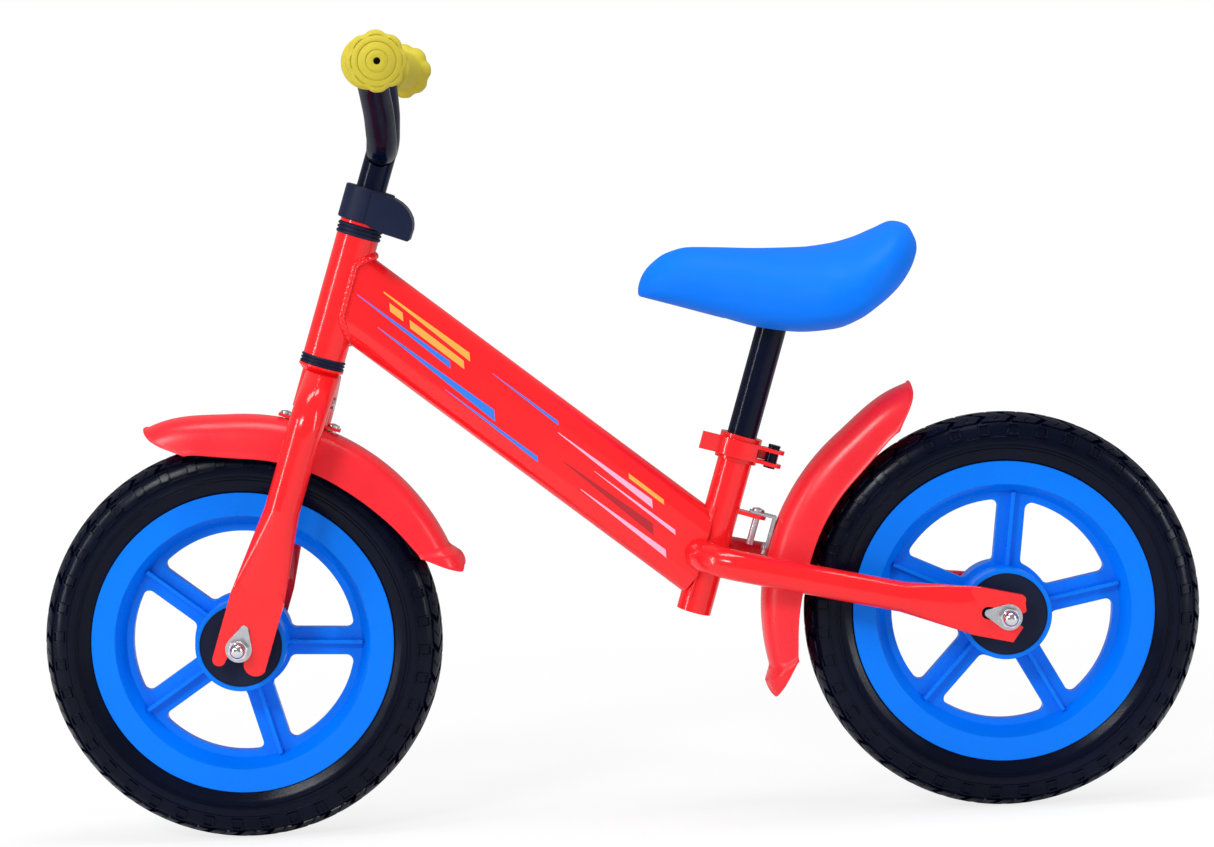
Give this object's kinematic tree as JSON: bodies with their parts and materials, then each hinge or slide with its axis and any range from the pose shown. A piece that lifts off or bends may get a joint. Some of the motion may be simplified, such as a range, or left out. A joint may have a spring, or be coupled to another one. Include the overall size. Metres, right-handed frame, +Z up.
{
  "type": "balance bike",
  "caption": "Child's balance bike: steel step-over frame, spoked plastic wheels with solid foam tyres, raised bar, adjustable moulded saddle, short mudguards, no pedals.",
  "frame": {"origin": "on the ground, midway between the two axles, in the middle plane", "axes": "+X towards the rear wheel, -X towards the front wheel, +Y towards the rider's right side, +Z up"},
  "size_m": [0.8454, 0.4056, 0.5795],
  "materials": {
    "frame_red": "gloss enamel over welded steel tube",
    "fender_red": "satin gloss injection moulding",
    "cup_black": "fine moulded texture",
    "tube_black": "gloss black powder coat",
    "zinc": "zinc plated",
    "chrome_nut": "bright plated",
    "bearing_steel": "ground",
    "tyre_black": "satin foam rubber with moulded tread",
    "rim_blue": "satin gloss injection moulding",
    "saddle_blue": "smooth soft integral-skin foam",
    "grip_yellow": "soft moulded rubber"
  },
  "bodies": {
    "frame": {"head_tube": "frame_red", "main_tube": "frame_red", "seat_tube": "frame_red", "left_chain_stay": "frame_red", "right_chain_stay": "frame_red", "upper_headset_cup": "cup_black", "lower_headset_cup": "cup_black", "seat_tube_tab": "frame_red", "seat_clamp_collar": "frame_red", "seat_clamp_barrel": "tube_black", "seat_clamp_bolt": "tube_black", "seat_clamp_nut": "tube_black", "rear_fender": "fender_red", "rear_fender_strap": "zinc", "rear_fender_bolts": "zinc", "rear_axle": "zinc", "rear_axle_nuts": "chrome_nut", "rear_tab_washers": "zinc", "rear_axle_spacers": "zinc", "rear_wheel_bearing_inner_races": "bearing_steel"},
    "fork": {"fork_steerer": "frame_red", "fork_crown": "frame_red", "left_fork_leg": "frame_red", "right_fork_leg": "frame_red", "headset_lock_ring": "frame_red", "front_axle": "zinc", "front_axle_nuts": "chrome_nut", "front_tab_washers": "zinc", "front_axle_spacers": "zinc", "front_wheel_bearing_inner_races": "bearing_steel", "front_fender": "fender_red", "front_fender_bracket": "frame_red", "front_fender_bolts": "zinc", "bar_clamp_collar": "tube_black", "bar_clamp_bolt": "zinc", "bar_clamp_cover": "cup_black"},
    "handlebar": {"handlebar_post": "tube_black", "handlebar_bar": "tube_black", "left_grip": "grip_yellow", "right_grip": "grip_yellow"},
    "front_wheel": {"front_tyre": "tyre_black", "front_rim": "rim_blue", "front_hub_caps": "cup_black", "front_wheel_bearing_outer_races": "bearing_steel", "front_wheel_bearing_balls": "bearing_steel"},
    "rear_wheel": {"rear_tyre": "tyre_black", "rear_rim": "rim_blue", "rear_hub_caps": "cup_black", "rear_wheel_bearing_outer_races": "bearing_steel", "rear_wheel_bearing_balls": "bearing_steel"},
    "seat": {"seat_post": "tube_black", "seat_post_plate": "tube_black", "saddle_base": "cup_black", "saddle_screws": "zinc", "saddle_cover": "saddle_blue"},
    "seat_lever": {"seat_clamp_lever": "frame_red"}
  },
  "joints": [
    {"name": "steering", "type": "hinge", "parent": "frame", "child": "fork", "pos_m": [-0.19586, 0, 0.39185], "axis": [0.314, 0, 0.9494], "continuous": true},
    {"name": "front_wheel_spin", "type": "hinge", "parent": "fork", "child": "front_wheel", "pos_m": [-0.2775, 0, 0.145], "axis": [0, 1, 0], "continuous": true},
    {"name": "rear_wheel_spin", "type": "hinge", "parent": "frame", "child": "rear_wheel", "pos_m": [0.2775, 0, 0.145], "axis": [0, 1, 0], "continuous": true},
    {"name": "handlebar_height", "type": "slide", "parent": "fork", "child": "handlebar", "axis": [0.314, 0, 0.9494], "range_m": [-0.015, 0.05]},
    {"name": "seat_height", "type": "slide", "parent": "frame", "child": "seat", "axis": [0.3007, 0, 0.9537], "range_m": [-0.045, 0.035]},
    {"name": "seat_lever_swing", "type": "hinge", "parent": "frame", "child": "seat_lever", "pos_m": [0.11261, -0.0105, 0.2639], "axis": [0.3007, 0, 0.9537], "range_deg": [0, 135]}
  ]
}
